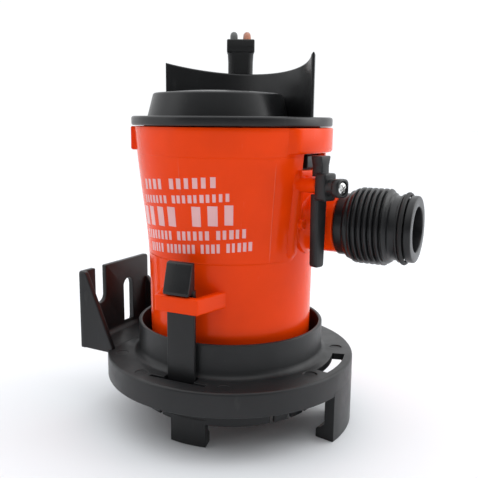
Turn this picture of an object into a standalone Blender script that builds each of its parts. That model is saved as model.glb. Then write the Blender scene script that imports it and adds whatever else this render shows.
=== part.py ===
"""Cartridge bilge pump: strainer base, housing, threaded discharge port and twist-in motor cartridge.

Dimensions are in millimetres and the helpers turn them into metres. Angles are in degrees about the pump's
vertical axis, with the discharge port at 0 and counter-clockwise positive, seen from above.
"""
import math

import bmesh
import bpy
from mathutils import Matrix, Vector

MM = 0.001
GAP = 0.3

# Where the pump axis stands, measured from the middle of the whole object's footprint.
AXIS_X = -8.241
AXIS_Y = 0.0

# Strainer base
DISC_R = 44.0
DISC_TOP = 23.9
DISC_THICK = 2.2
SKIRT_BOTTOM = 15.8
SKIRT_WALL = 1.8
COLLAR_R = 32.85
COLLAR_WALL = 1.25
COLLAR_TOP = 35.1
STRAINER_BOTTOM = 7.7
INTAKE_R = 14.0
LATCH_AT = -107.5
OUTER_LEGS = ((-30.5, 34.0), (122.5, 34.0))
INNER_LEGS = ((-117.6, 22.3), (62.4, 22.3))
STRAINER_SLOTS = (-56.5, 123.5)
SLOTS_PER_SIDE = 10
SLOT_PITCH = 12.3

# Bulkhead bracket on the base: a plate whose outward normal points at BRACKET_AT
BRACKET_AT = 158.8
BRACKET_OUT = 47.6
BRACKET_THICK = 2.0
BRACKET_NEAR = -26.8
BRACKET_FAR = 11.5
BRACKET_BOTTOM = 22.4
BRACKET_TOP = 51.0
SLOT_WIDTH = 5.7

# Housing
HOUSING_BOTTOM = DISC_TOP + GAP
HOUSING_TOP = 102.5
HOUSING_WALL = 2.2
HOUSING_SIDE = ((28.2, HOUSING_BOTTOM), (28.45, 38.0), (28.75, 57.0), (29.7, 70.0), (31.4, 84.0), (32.5, 94.4),
                (33.15, HOUSING_TOP))
INLET_R = 9.0
FLOOR_THICK = 2.5
HOOD_R = 34.5
HOOD_BOTTOM = 94.5
HOODS = (-51.5, 128.5)
HOOD_SWEEP = 65.0
WINDOW_BOTTOM = 89.4

# Discharge. The pump is turned at the end so that PORT_AT comes to lie along +X.
PORT_AT = -19.4
PORT_Z = 72.0
BORE_R = 7.1
STUB_R = 9.4
STUB_END = 40.4
TUBE_R = 8.3
TUBE_END = 43.6
PORT_START = 40.7
PORT_END = 64.9
THREAD_R = 12.06
THREAD_ROOT = 10.95
THREAD_PITCH = 1.77
THREAD_START = 45.1
THREAD_TURNS = 7

# Lock lever, on a radial boss of the housing
LEVER_AT = -39.0
LEVER_Z = 85.0
BOSS_R = 2.35
BOSS_END = 39.7

# Motor cartridge
FLANGE_R = 34.24
FLANGE_BOTTOM = 102.8
FLANGE_TOP = 105.8
LUG_SWEEP = 10.5
LUGS = (-35.5, 144.5)
BLADE_AT = 56.9
BLADE_HALF_CHORD = 33.1
BLADE_SAG = 16.6
BLADE_THICK = 1.3
BLADE_LOW = 121.0
BLADE_HIGH = 125.4
CONE_OFFSET = 7.15
CONE_R = 23.4
CONE_TOP_R = 21.6
CONE_TOP = 113.4
SLEEVE_R = 24.0
SLEEVE_BOTTOM = 41.0
CAN_R = 18.5
CAN_BOTTOM = 48.0
CAN_TOP = 91.0
SHAFT_R = 1.6
IMPELLER_R = 17.5
IMPELLER_TOP = 38.5
IMPELLER_BOTTOM = 28.5

# Leads, behind the pump: BEHIND is the direction in which they leave
BEHIND = 98.5
LEAD_R = 1.4
GROMMET_SIDE = 3.0
GROMMET_BACK = 24.0
GROMMET_TOP = 134.0
LEAD_SPACING = 2.5
COIL_BACK = 80.0
COIL_SIDE = 20.3
COIL_OUTER = 20.0
COIL_INNER = 11.6
COIL_HEIGHT = 8.4

MATERIALS = {
    "black_plastic": ((0.035, 0.036, 0.038), 0.38, 0.0),
    "orange_plastic": ((0.68, 0.055, 0.008), 0.3, 0.0),
    "black_rubber": ((0.02, 0.02, 0.021), 0.65, 0.0),
    "steel": ((0.55, 0.56, 0.57), 0.3, 1.0),
    "copper": ((0.6, 0.24, 0.11), 0.35, 1.0),
    "brass": ((0.7, 0.5, 0.2), 0.3, 1.0),
    "carbon": ((0.03, 0.03, 0.03), 0.7, 0.0),
    "ferrite": ((0.08, 0.075, 0.07), 0.6, 0.0),
    "white_plastic": ((0.75, 0.74, 0.7), 0.4, 0.0),
    "black_lead": ((0.03, 0.032, 0.033), 0.45, 0.0),
    "brown_lead": ((0.35, 0.11, 0.045), 0.45, 0.0),
}


# ---------------------------------------------------------------- helpers
def polar(radius, degrees, height=0.0):
    angle = math.radians(degrees)
    return Vector((radius * math.cos(angle), radius * math.sin(angle), height))


def behind(side, back, height):
    """A point given sideways and backwards of the pump axis, along BEHIND."""
    return polar(back, BEHIND) + polar(side, BEHIND - 90.0) + Vector((0.0, 0.0, height))


def material(name):
    found = bpy.data.materials.get(name)
    if found:
        return found
    colour, roughness, metallic = MATERIALS[name]
    made = bpy.data.materials.new(name)
    made.use_nodes = True
    shader = made.node_tree.nodes["Principled BSDF"]
    shader.inputs["Base Color"].default_value = (*colour, 1.0)
    shader.inputs["Roughness"].default_value = roughness
    shader.inputs["Metallic"].default_value = metallic
    return made


def finish_object(name, bm, look=None):
    bmesh.ops.remove_doubles(bm, verts=bm.verts, dist=1e-7)
    bmesh.ops.recalc_face_normals(bm, faces=bm.faces)
    mesh = bpy.data.meshes.new(name)
    bm.to_mesh(mesh)
    bm.free()
    mesh.shade_smooth()
    mesh.set_sharp_from_angle(angle=math.radians(35.0))
    made = bpy.data.objects.new(name, mesh)
    bpy.context.scene.collection.objects.link(made)
    if look:
        mesh.materials.append(material(look))
    return made


def bridge(bm, rings, closed, caps):
    """Faces between successive rings of vertices, with the two end rings as caps when asked."""
    pairs = list(zip(rings, rings[1:]))
    if closed:
        pairs.append((rings[-1], rings[0]))
    for here, there in pairs:
        for j in range(len(here)):
            k = (j + 1) % len(here)
            bm.faces.new((here[j], there[j], there[k], here[k]))
    if caps:
        bm.faces.new(rings[0])
        bm.faces.new(list(reversed(rings[-1])))


def revolved(name, outline, steps, look=None, start=0.0, sweep=360.0):
    """A solid swept by a closed (radius, height) outline turning about the pump axis."""
    whole = sweep >= 360.0
    bm = bmesh.new()
    rings = [[bm.verts.new(polar(r, start + sweep * i / steps, z) * MM) for r, z in outline]
             for i in range(steps if whole else steps + 1)]
    bridge(bm, rings, closed=whole, caps=not whole)
    return finish_object(name, bm, look)


def prism(name, outline, bottom, top, look=None):
    """A solid that stands on a flat (x, y) outline."""
    bm = bmesh.new()
    rings = [[bm.verts.new(Vector((x, y, z)) * MM) for x, y in outline] for z in (bottom, top)]
    bridge(bm, rings, closed=False, caps=True)
    return finish_object(name, bm, look)


def box(name, low, high, look=None):
    outline = ((low[0], low[1]), (high[0], low[1]), (high[0], high[1]), (low[0], high[1]))
    return prism(name, outline, low[2], high[2], look)


def ring(name, inner, outer, bottom, top, steps=32, look=None):
    return revolved(name, ((inner, bottom), (outer, bottom), (outer, top), (inner, top)), steps, look)


def reshape(obj, matrix):
    """Moves the mesh itself, so that the object keeps a plain transform. The matrix is in millimetres."""
    obj.data.transform(Matrix.Scale(MM, 4) @ matrix @ Matrix.Scale(1.0 / MM, 4))
    return obj


def turn(degrees):
    return Matrix.Rotation(math.radians(degrees), 4, "Z")


def shift(x, y, z):
    return Matrix.Translation((x, y, z))


LAY_ALONG_X = Matrix(((0, 0, 1, 0), (0, 1, 0, 0), (-1, 0, 0, 0), (0, 0, 0, 1)))
STAND_FACING_X = Matrix(((0, 0, 1, 0), (1, 0, 0, 0), (0, 1, 0, 0), (0, 0, 0, 1)))
STAND_ALONG_Y = Matrix(((1, 0, 0, 0), (0, 0, -1, 0), (0, 1, 0, 0), (0, 0, 0, 1)))


def combine(target, tool, operation):
    modifier = target.modifiers.new(tool.name, "BOOLEAN")
    modifier.operation = operation
    modifier.solver = "EXACT"
    modifier.object = tool
    tool.hide_render = True
    tool.display_type = "WIRE"


def join(target, *tools):
    for tool in tools:
        combine(target, tool, "UNION")


def cut(target, *tools):
    for tool in tools:
        combine(target, tool, "DIFFERENCE")


def put_origin(obj, point):
    """Moves the object's origin to a point, in millimetres, leaving the shape where it is."""
    obj.data.transform(Matrix.Translation(-point * MM))
    obj.location = point * MM


def rounded(width, depth, radius, steps=4):
    """A rectangle about the origin with round corners."""
    points = []
    for corner, (sx, sy) in enumerate(((1, 1), (-1, 1), (-1, -1), (1, -1))):
        centre = Vector((sx * (width / 2 - radius), sy * (depth / 2 - radius)))
        for i in range(steps + 1):
            angle = math.radians(90.0 * (corner + i / steps))
            points.append(centre + Vector((math.cos(angle), math.sin(angle))) * radius)
    return [(p.x, p.y) for p in points]


# ---------------------------------------------------------------- strainer base
def make_base():
    under = DISC_TOP - DISC_THICK
    inside = COLLAR_R - COLLAR_WALL
    outline = ((INTAKE_R, DISC_TOP), (inside, DISC_TOP), (inside, COLLAR_TOP), (COLLAR_R, COLLAR_TOP),
               (COLLAR_R, DISC_TOP), (DISC_R, DISC_TOP), (DISC_R, SKIRT_BOTTOM),
               (DISC_R - SKIRT_WALL, SKIRT_BOTTOM), (DISC_R - SKIRT_WALL, under), (COLLAR_R, under),
               (COLLAR_R, STRAINER_BOTTOM), (inside, STRAINER_BOTTOM), (inside, under), (INTAKE_R, under))
    base = revolved("strainer_base", outline, 48, "black_plastic")
    for i, (start, sweep) in enumerate(OUTER_LEGS):
        foot = ((DISC_R + 0.1, 0.0), (DISC_R + 0.1, 17.0), (40.5, 17.0), (40.5, 5.7), (37.3, 2.5), (37.3, 0.0))
        join(base, revolved(f"outer_leg_{i}", foot, 7, start=start, sweep=sweep))
    for i, (start, sweep) in enumerate(INNER_LEGS):
        foot = ((COLLAR_R + 0.1, 0.0), (COLLAR_R + 0.1, 9.5), (29.8, 9.5), (29.8, 5.0), (27.8, 3.0), (27.8, 0.0))
        join(base, revolved(f"inner_leg_{i}", foot, 5, start=start, sweep=sweep))
    for part in bracket_parts():
        join(base, part)
    for i, start in enumerate(STRAINER_SLOTS):
        for j in range(SLOTS_PER_SIDE):
            comb = box(f"comb_{i}_{j}", (29.0, -0.8, 5.0), (35.0, 0.8, 12.5))
            cut(base, reshape(comb, turn(start + SLOT_PITCH * j)))
    window = ((37.1, 20.0), (41.3, 20.0), (41.3, 26.0), (37.1, 26.0))
    cut(base, revolved("disc_window", window, 8, start=-31.5, sweep=27.0))
    for i, at in enumerate((LATCH_AT, LATCH_AT + 180.0)):
        slot = box(f"latch_slot_{i}", (33.6, -5.4, 20.0), (37.9, 5.4, 26.0))
        relief = box(f"latch_relief_{i}", (36.9, -10.0, 20.5), (38.4, 10.0, 25.5))
        cut(base, reshape(slot, turn(at)), reshape(relief, turn(at)))
    return base


def bracket_parts():
    """The upright plate with its two slots, its shelf and its two gussets, built facing +X and then turned."""
    outer = BRACKET_OUT
    inner = BRACKET_OUT - BRACKET_THICK
    near, far = -BRACKET_NEAR, -BRACKET_FAR
    plate = box("bracket_plate", (inner, far, BRACKET_BOTTOM), (outer, near, BRACKET_TOP))
    open_slot = slot_cutter("bracket_open_slot", near - 9.65, 37.2, BRACKET_TOP + 10.0)
    closed_slot = slot_cutter("bracket_closed_slot", near - 25.5, 24.6, 43.6)
    cut(plate, open_slot, closed_slot)
    shelf = box("bracket_shelf", (34.5, far + 0.2, BRACKET_BOTTOM + 0.2), (outer - 0.5, near - 0.2, DISC_TOP + 0.15))
    tall = upright("near_gusset", ((outer - 0.4, BRACKET_BOTTOM + 0.1), (outer - 0.4, BRACKET_TOP - 0.1),
                                   (outer - 3.0, BRACKET_TOP - 0.1), (29.8 + 3.2, DISC_TOP + 0.1),
                                   (29.8 + 3.2, BRACKET_BOTTOM + 0.1)), near - 1.9, near - 0.05)
    low = upright("far_gusset", ((outer - 0.4, BRACKET_BOTTOM + 0.1), (outer - 0.4, 42.0), (inner - 0.6, 42.0),
                                 (34.0, DISC_TOP + 0.1), (34.0, BRACKET_BOTTOM + 0.1)), far + 0.05, far + 1.9)
    parts = (plate, shelf, tall, low)
    for part in parts + (open_slot, closed_slot):
        reshape(part, turn(BRACKET_AT))
    return parts


def upright(name, outline, low, high):
    """A solid on a flat (x, z) outline, running along Y from low to high."""
    return reshape(prism(name, outline, -high, -low), STAND_ALONG_Y)


def slot_cutter(name, middle, bottom, top):
    outline = [(y + middle, z + (bottom + top) / 2) for y, z in rounded(SLOT_WIDTH, top - bottom, SLOT_WIDTH / 2 - 0.01)]
    return reshape(prism(name, outline, BRACKET_OUT - 6.0, BRACKET_OUT + 3.0), STAND_FACING_X)


# ---------------------------------------------------------------- snap latches
def make_latch(name, at):
    """A cantilever strap that stands in the base's slot and hooks over the housing's loop."""
    strap = box(name, (34.2, -4.9, 19.8), (35.8, 4.9, 53.0), "black_plastic")
    wedge = upright(f"{name}_wedge", ((34.3, 51.6), (38.8, 51.6), (35.9, 61.6), (34.3, 61.6)), -4.5, 4.5)
    foot = box(f"{name}_foot", (34.5, -8.0, 19.5), (37.6, 8.0, 21.0))
    join(strap, wedge, foot)
    for part in (strap, wedge, foot):
        reshape(part, turn(at))
    put_origin(strap, polar(35.0, at, DISC_TOP))
    return strap


# ---------------------------------------------------------------- housing
def make_housing():
    floor = HOUSING_BOTTOM + FLOOR_THICK
    inner = [(r - HOUSING_WALL, z) for r, z in reversed(HOUSING_SIDE[1:])]
    outline = list(HOUSING_SIDE) + inner + [(28.2 - HOUSING_WALL, floor), (INLET_R, floor), (INLET_R, HOUSING_BOTTOM)]
    housing = revolved("housing", outline, 48, "orange_plastic")
    volute = ((20.0, floor - 0.5), (21.6, floor - 0.5), (21.6, 38.0), (20.0, 38.0))
    join(housing, revolved("volute_wall", volute, 20, start=25.0, sweep=300.0))
    for i, start in enumerate(HOODS):
        hood = ((31.2, HOOD_BOTTOM), (HOOD_R, HOOD_BOTTOM), (HOOD_R, HOUSING_TOP - 0.1), (31.9, HOUSING_TOP - 0.1))
        join(housing, revolved(f"hood_{i}", hood, 9, start=start, sweep=HOOD_SWEEP))
    join(housing, *outlet_tube_parts(), *boss_parts())
    for i, at in enumerate((LATCH_AT, LATCH_AT + 180.0)):
        join(housing, loop(f"latch_loop_{i}", at))
    for i, start in enumerate(LUGS):
        window = ((25.0, WINDOW_BOTTOM), (36.0, WINDOW_BOTTOM), (36.0, HOOD_BOTTOM - 0.1), (25.0, HOOD_BOTTOM - 0.1))
        channel = ((25.0, WINDOW_BOTTOM + 1.0), (33.4, WINDOW_BOTTOM + 1.0), (33.4, 104.0), (25.0, 104.0))
        cut(housing, revolved(f"window_{i}", window, 8, start=start - 2.0, sweep=28.0))
        cut(housing, revolved(f"lug_channel_{i}", channel, 6, start=start + 12.0, sweep=14.5))
    bore = revolved("outlet_bore", ((0.0, 20.0), (BORE_R, 20.0), (BORE_R, 45.0), (0.0, 45.0)), 22)
    cut(housing, reshape(bore, turn(PORT_AT) @ shift(0, 0, PORT_Z) @ LAY_ALONG_X))
    pilot = revolved("boss_pilot", ((0.0, 29.5), (1.4, 29.5), (1.4, 41.0), (0.0, 41.0)), 10)
    cut(housing, reshape(pilot, turn(LEVER_AT) @ shift(0, 0, LEVER_Z) @ LAY_ALONG_X))
    return housing


def outlet_tube_parts():
    tube = revolved("outlet_tube", ((0.0, 27.6), (TUBE_R, 27.6), (TUBE_R, TUBE_END), (0.0, TUBE_END)), 24)
    stub = revolved("outlet_stub", ((0.0, 27.6), (STUB_R, 27.6), (STUB_R, STUB_END), (0.0, STUB_END)), 24)
    for item in (tube, stub):
        reshape(item, turn(PORT_AT) @ shift(0, 0, PORT_Z) @ LAY_ALONG_X)
    return tube, stub


def boss_parts():
    """The lever's pin boss, the ledge under the window, the upright rib beside it and the small stop."""
    boss = revolved("lever_boss", ((0.0, 29.6), (BOSS_R, 29.6), (BOSS_R, BOSS_END), (0.0, BOSS_END)), 12)
    reshape(boss, turn(LEVER_AT) @ shift(0, 0, LEVER_Z) @ LAY_ALONG_X)
    stop = revolved("lever_stop", ((0.0, 28.0), (1.5, 28.0), (1.5, 33.2), (0.0, 33.2)), 8)
    reshape(stop, turn(LEVER_AT + 2.0) @ shift(0, 0, 72.2) @ LAY_ALONG_X)
    lean = Matrix(((1, 0, 0.076, 0), (0, 1, 0, 0), (0, 0, 1, 0), (0, 0, 0, 1)))
    rib = prism("outlet_rib", rounded(3.6, 4.4, 1.7, 3), 60.2, 89.2)
    reshape(rib, turn(-39.5) @ shift(24.64, 0, 0) @ lean)
    ledge = ((30.2, 87.2), (33.2, 87.2), (33.2, 89.3), (30.2, 89.3))
    return boss, stop, rib, revolved("window_ledge", ledge, 6, start=-40.0, sweep=24.0)


def loop(name, at):
    """A flat bar held off the wall by two arms, for the base's latch to pass through."""
    outline = ((25.4, -11.4), (36.4, -8.2), (38.6, -7.6), (38.6, 7.6), (36.4, 8.2), (25.4, 11.4), (25.4, 8.8),
               (36.2, 5.8), (36.2, -5.8), (25.4, -8.8))
    return reshape(prism(name, outline, 46.0, 51.2), turn(at))


# ---------------------------------------------------------------- discharge port
def make_port():
    """A hollow spigot at PORT_AT: collar, thread, plain neck and a grooved tip."""
    socket, collar, neck, lip, groove, tip = TUBE_R + GAP, 9.9, 10.1, 10.7, 9.4, 10.4
    side = [(socket, PORT_START), (collar, PORT_START), (collar, 43.7), (THREAD_ROOT, THREAD_START - 0.9)]
    for i in range(THREAD_TURNS):
        start = THREAD_START - 0.1 + THREAD_PITCH * i
        side += [(THREAD_ROOT, start - 0.35), (THREAD_R, start + 0.55)]
    side += [(THREAD_ROOT, THREAD_START + THREAD_PITCH * THREAD_TURNS - 0.45), (neck, 58.0), (neck, 60.0),
             (lip, 60.1), (lip, 60.8), (groove, 60.8), (groove, 62.7), (tip, 62.7), (tip, PORT_END - 0.5),
             (tip - 0.5, PORT_END), (BORE_R, PORT_END), (BORE_R, 45.0), (socket, 45.0)]
    port = revolved("discharge_port", side, 28, "black_plastic")
    seal = ring("port_o_ring", groove + 0.3, 11.4, 61.05, 62.45, 28, "black_rubber")
    gasket = ring("port_gasket", BORE_R + 0.1, TUBE_R, TUBE_END + GAP, 44.7, 24, "black_rubber")
    for item in (port, seal, gasket):
        reshape(item, turn(PORT_AT) @ shift(0, 0, PORT_Z) @ LAY_ALONG_X)
    return port, seal, gasket


# ---------------------------------------------------------------- lock lever
def make_lever():
    """A see-saw lever on the radial boss: a tab above the pin, a finger arm below, and a capped hub."""
    tab = ((-1.7, 3.0), (1.7, 3.0), (1.7, 6.4), (2.4, 9.3), (-2.4, 9.3), (-1.7, 6.4))
    arm = ((-2.1, -3.0), (-1.9, -23.6), (-1.3, -25.2), (1.3, -25.2), (1.9, -23.6), (2.1, -3.0))
    lever = prism("lock_lever", rounded(5.4, 8.4, 0.8, 2), BOSS_END + GAP, 44.0, "black_plastic")
    upper = prism("lever_tab", tab, 38.0, 42.0)
    lower = prism("lever_arm", arm, 38.0, 40.9)
    neck = revolved("lever_neck", ((0.0, 43.5), (2.5, 43.5), (2.5, 47.0), (0.0, 47.0)), 12)
    pad = prism("lever_pad", rounded(5.6, 5.6, 1.9, 3), 46.6, 48.8)
    bore = revolved("lever_bore", ((0.0, 38.0), (1.4, 38.0), (1.4, 47.6), (2.1, 47.6), (2.1, 50.0), (0.0, 50.0)), 12)
    join(lever, upper, lower, neck, pad)
    cut(lever, bore)
    stand = turn(LEVER_AT) @ shift(0, 0, LEVER_Z) @ STAND_FACING_X
    for part in (lever, upper, lower, neck, pad, bore):
        reshape(part, stand)
    put_origin(lever, polar(42.0, LEVER_AT, LEVER_Z))
    screw_side = ((0.0, 33.0), (1.1, 33.5), (1.1, 47.9), (1.8, 47.9), (1.8, 48.7), (0.0, 49.0))
    screw = revolved("lever_screw", screw_side, 12, "steel")
    reshape(screw, stand)
    return lever, screw


# ---------------------------------------------------------------- cartridge shell
def make_cap():
    edge = 0.5
    side = ((0.0, FLANGE_BOTTOM), (27.2, FLANGE_BOTTOM), (27.2, 88.2), (29.0, 88.2), (29.0, 95.2), (30.0, 96.0),
            (30.0, 97.4), (28.4, 97.4), (28.4, 100.2), (30.0, 100.2), (30.0, FLANGE_BOTTOM),
            (FLANGE_R - edge, FLANGE_BOTTOM), (FLANGE_R, FLANGE_BOTTOM + edge), (FLANGE_R, FLANGE_TOP - edge),
            (FLANGE_R - edge, FLANGE_TOP), (0.0, FLANGE_TOP))
    cap = revolved("cartridge_cap", side, 48, "black_plastic")
    cone = revolved("cap_cone", ((0.0, FLANGE_TOP - 1.0), (CONE_R, FLANGE_TOP - 1.0), (CONE_R, FLANGE_TOP),
                                 (CONE_TOP_R, CONE_TOP - 0.5), (CONE_TOP_R - 0.8, CONE_TOP),
                                 (12.0, CONE_TOP + 0.7), (0.0, CONE_TOP + 1.0)), 36)
    hollow = revolved("cap_hollow", ((0.0, 90.0), (18.5, 90.0), (18.5, CONE_TOP - 2.0), (0.0, CONE_TOP - 2.0)), 20)
    for part in (cone, hollow):
        reshape(part, shift(*polar(-CONE_OFFSET, BLADE_AT)))
    join(cap, cone, make_blade())
    for i, start in enumerate(LUGS):
        lug = ((28.0, 89.9), (33.0, 89.9), (33.0, 94.0), (28.0, 94.0))
        join(cap, revolved(f"bayonet_lug_{i}", lug, 3, start=start, sweep=LUG_SWEEP))
    hole = prism("grommet_hole", rounded(9.4 + 2 * GAP, 7.2 + 2 * GAP, 3.0), 100.0, 108.0)
    reshape(hole, turn(BEHIND - 90.0) @ shift(GROMMET_SIDE, GROMMET_BACK, 0))
    cut(cap, hollow, hole)
    ring_side = ((28.7, 98.8), (29.1, 97.9), (29.9, 97.9), (30.3, 98.8), (29.9, 99.7), (29.1, 99.7))
    return cap, revolved("cap_o_ring", ring_side, 32, "black_rubber")


def make_blade():
    """The curved grip on the cap: an upright sheet on an arc, its top edge lower in the middle."""
    bend = (BLADE_HALF_CHORD ** 2 + BLADE_SAG ** 2) / (2 * BLADE_SAG)
    half_angle = math.degrees(math.asin(BLADE_HALF_CHORD / bend))
    centre = polar(BLADE_SAG - bend, BLADE_AT)
    steps = 14
    bm = bmesh.new()
    rings = []
    for i in range(steps + 1):
        along = 2.0 * i / steps - 1.0
        angle = BLADE_AT + half_angle * along
        top = BLADE_LOW + (BLADE_HIGH - BLADE_LOW) * along ** 2
        section = ((bend - BLADE_THICK / 2, FLANGE_TOP - 1.2), (bend + BLADE_THICK / 2, FLANGE_TOP - 1.2),
                   (bend + BLADE_THICK / 2, top), (bend - BLADE_THICK / 2, top))
        rings.append([bm.verts.new((centre + polar(r, angle, z)) * MM) for r, z in section])
    bridge(bm, rings, closed=False, caps=True)
    return finish_object("cap_blade", bm)


def make_sleeve():
    inner = SLEEVE_R - 1.6
    side = ((5.0, SLEEVE_BOTTOM), (SLEEVE_R - 2.0, SLEEVE_BOTTOM), (SLEEVE_R, SLEEVE_BOTTOM + 2.0), (SLEEVE_R, 100.6),
            (inner, 100.6), (inner, 44.0), (7.0, 44.0), (7.0, 46.0), (5.0, 46.0))
    return revolved("cartridge_sleeve", side, 28, "black_plastic")


def make_grommet():
    """Strain relief: a neck through the cap and a square head whose sloping back face lets the leads out."""
    neck = prism("wire_grommet", rounded(9.4, 7.2, 2.6), 101.0, 129.8, "black_rubber")
    head = upright("grommet_head", ((-3.8, 129.4), (3.8, 129.4), (3.8, 130.2), (-1.6, GROMMET_TOP),
                                    (-3.8, GROMMET_TOP)), -5.1, 5.1)
    join(neck, head)
    reshape(neck, turn(BEHIND - 90.0) @ shift(GROMMET_SIDE, GROMMET_BACK, 0))
    reshape(head, turn(BEHIND) @ shift(GROMMET_BACK, -GROMMET_SIDE, 0))
    return neck


# ---------------------------------------------------------------- motor
def make_motor_fixed():
    wall = 1.2
    can_side = ((4.3, CAN_BOTTOM), (CAN_R - 1.5, CAN_BOTTOM), (CAN_R, CAN_BOTTOM + 1.5), (CAN_R, CAN_TOP),
                (CAN_R - wall, CAN_TOP), (CAN_R - wall, CAN_BOTTOM + wall + 1.0), (CAN_R - wall - 1.0, CAN_BOTTOM + wall),
                (4.3, CAN_BOTTOM + wall))
    parts = [revolved("motor_can", can_side, 24, "steel")]
    end_side = ((4.3, CAN_TOP + GAP), (CAN_R, CAN_TOP + GAP), (CAN_R, CAN_TOP + 2.8), (CAN_R - 1.5, CAN_TOP + 4.0),
                (7.0, CAN_TOP + 4.0), (7.0, CAN_TOP + 5.0), (4.3, CAN_TOP + 5.0))
    parts.append(revolved("motor_end_cap", end_side, 24, "white_plastic"))
    for name, start in (("magnet_left", 125.0), ("magnet_right", -55.0)):
        side = ((14.6, 54.0), (17.0, 54.0), (17.0, 83.0), (14.6, 83.0))
        parts.append(revolved(name, side, 8, "ferrite", start=start, sweep=110.0))
    parts.append(ring("lower_bearing", SHAFT_R + 0.1, 4.0, CAN_BOTTOM - 0.4, CAN_BOTTOM + 2.6, 16, "brass"))
    parts.append(ring("upper_bearing", SHAFT_R + 0.1, 4.0, CAN_TOP + 0.5, CAN_TOP + 4.5, 16, "brass"))
    parts.append(ring("shaft_seal", SHAFT_R + 0.1, 4.7, SLEEVE_BOTTOM + 0.2, SLEEVE_BOTTOM + 4.4, 16, "black_rubber"))
    for name, side in (("left", -1), ("right", 1)):
        low, high = sorted((side * 5.4, side * 10.4))
        parts.append(box(f"brush_{name}", (low, -1.6, 86.0), (high, 1.6, 89.6), "carbon"))
        low, high = sorted((side * 10.7, side * 11.3))
        parts.append(box(f"brush_spring_{name}", (low, -1.5, 85.4), (high, 1.5, 90.9), "brass"))
        low, high = sorted((side * 10.6, side * 11.4))
        parts.append(box(f"terminal_{name}", (low, -2.4, CAN_TOP + 4.3), (high, 2.4, CAN_TOP + 9.3), "brass"))
    return parts


def make_rotor():
    parts = [revolved("motor_shaft", ((0.0, 27.2), (SHAFT_R - 0.3, 27.2), (SHAFT_R, 27.6), (SHAFT_R, 97.0), (0.0, 97.0)),
                      12, "steel")]
    core = ring("armature_core", SHAFT_R + GAP, 13.8, 57.0, 80.0, 25, "steel")
    slots = []
    for i in range(5):
        slot = box(f"core_slot_{i}", (6.0, -1.9, 50.0), (16.0, 1.9, 90.0))
        slots.append(reshape(slot, turn(72.0 * i + 36.0)))
    cut(core, *slots)
    parts.append(core)
    windings = ring("armature_windings", 3.2, 12.4, 80.3, 84.0, 20, "copper")
    lower = ring("windings_lower", 4.6, 12.4, 53.0, 56.7, 20)
    bars = []
    for i in range(5):
        bar = box(f"winding_bar_{i}", (6.6, -1.5, 54.0), (11.9, 1.5, 83.0))
        bars.append(reshape(bar, turn(72.0 * i + 36.0)))
    join(windings, lower, *bars)
    parts.append(windings)
    side = ((SHAFT_R + GAP, 84.5), (5.6, 84.5), (5.6, 85.4), (5.0, 85.6), (5.0, 90.8), (SHAFT_R + GAP, 90.8))
    parts.append(revolved("commutator", side, 15, "copper"))
    parts.append(make_impeller())
    parts.append(ring("impeller_clip", SHAFT_R + 0.3, 3.3, 27.5, 28.2, 12, "steel"))
    return parts


def make_impeller():
    """A back plate with a hub and five swept vanes that open downwards."""
    side = ((SHAFT_R + GAP, IMPELLER_BOTTOM), (4.0, IMPELLER_BOTTOM), (4.0, 36.4), (IMPELLER_R, 36.9),
            (IMPELLER_R, IMPELLER_TOP), (SHAFT_R + GAP, IMPELLER_TOP))
    impeller = revolved("impeller", side, 25, "white_plastic")
    for i in range(5):
        outline = []
        for side_of in (1, -1):
            run = [(3.2 + 13.6 * t / 3.0, 72.0 * i - 34.0 * (t / 3.0) ** 1.4) for t in range(4)]
            for radius, angle in (run if side_of > 0 else reversed(run)):
                half = math.degrees(0.8 / radius)
                point = polar(radius, angle + side_of * half)
                outline.append((point.x, point.y))
        join(impeller, prism(f"vane_{i}", outline, IMPELLER_BOTTOM + 0.3, 37.5))
    return impeller


# ---------------------------------------------------------------- leads
def smooth_run(points, spacing):
    """Points read at an even spacing from a Catmull-Rom curve through the given ones."""
    ends = [points[0] * 2 - points[1], *points, points[-1] * 2 - points[-2]]
    dense = []
    for a, b, c, d in zip(ends, ends[1:], ends[2:], ends[3:]):
        for i in range(24):
            t = i / 24.0
            dense.append(0.5 * (2 * b + (c - a) * t + (2 * a - 5 * b + 4 * c - d) * t ** 2
                                + (3 * b - a - 3 * c + d) * t ** 3))
    dense.append(points[-1])
    lengths = [0.0]
    for a, b in zip(dense, dense[1:]):
        lengths.append(lengths[-1] + (b - a).length)
    count = round(lengths[-1] / spacing)
    read, j = [], 0
    for i in range(count + 1):
        want = lengths[-1] * i / count
        while j < len(lengths) - 2 and lengths[j + 1] < want:
            j += 1
        part = (want - lengths[j]) / (lengths[j + 1] - lengths[j])
        read.append(dense[j].lerp(dense[j + 1], min(max(part, 0.0), 1.0)))
    return read


def lead_route(side, landing):
    """Side, back and height of a lead: out of the grommet, over, down behind the base and along the floor."""
    return [behind(*point) for point in (
        (side, 25.35, 132.45), (side, 28.5, 135.4), (side, 33.5, 136.7), (side, 39.0, 135.5), (side, 43.5, 132.1),
        (side, 46.0, 127.1), (side, 46.5, 121.0), (side, 46.5, 104.0), (side, 46.5, 84.0), (side, 46.5, 62.0),
        (side, 46.6, 42.0), (side, 46.9, 24.0), (side, 48.4, 12.6), (side * 0.9 + landing * 0.1, 52.8, 5.2),
        (side * 0.6 + landing * 0.4, 58.8, 2.0), (side * 0.3 + landing * 0.7, 64.0, 1.5), (landing, 69.2, LEAD_R + 0.05))]


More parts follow.
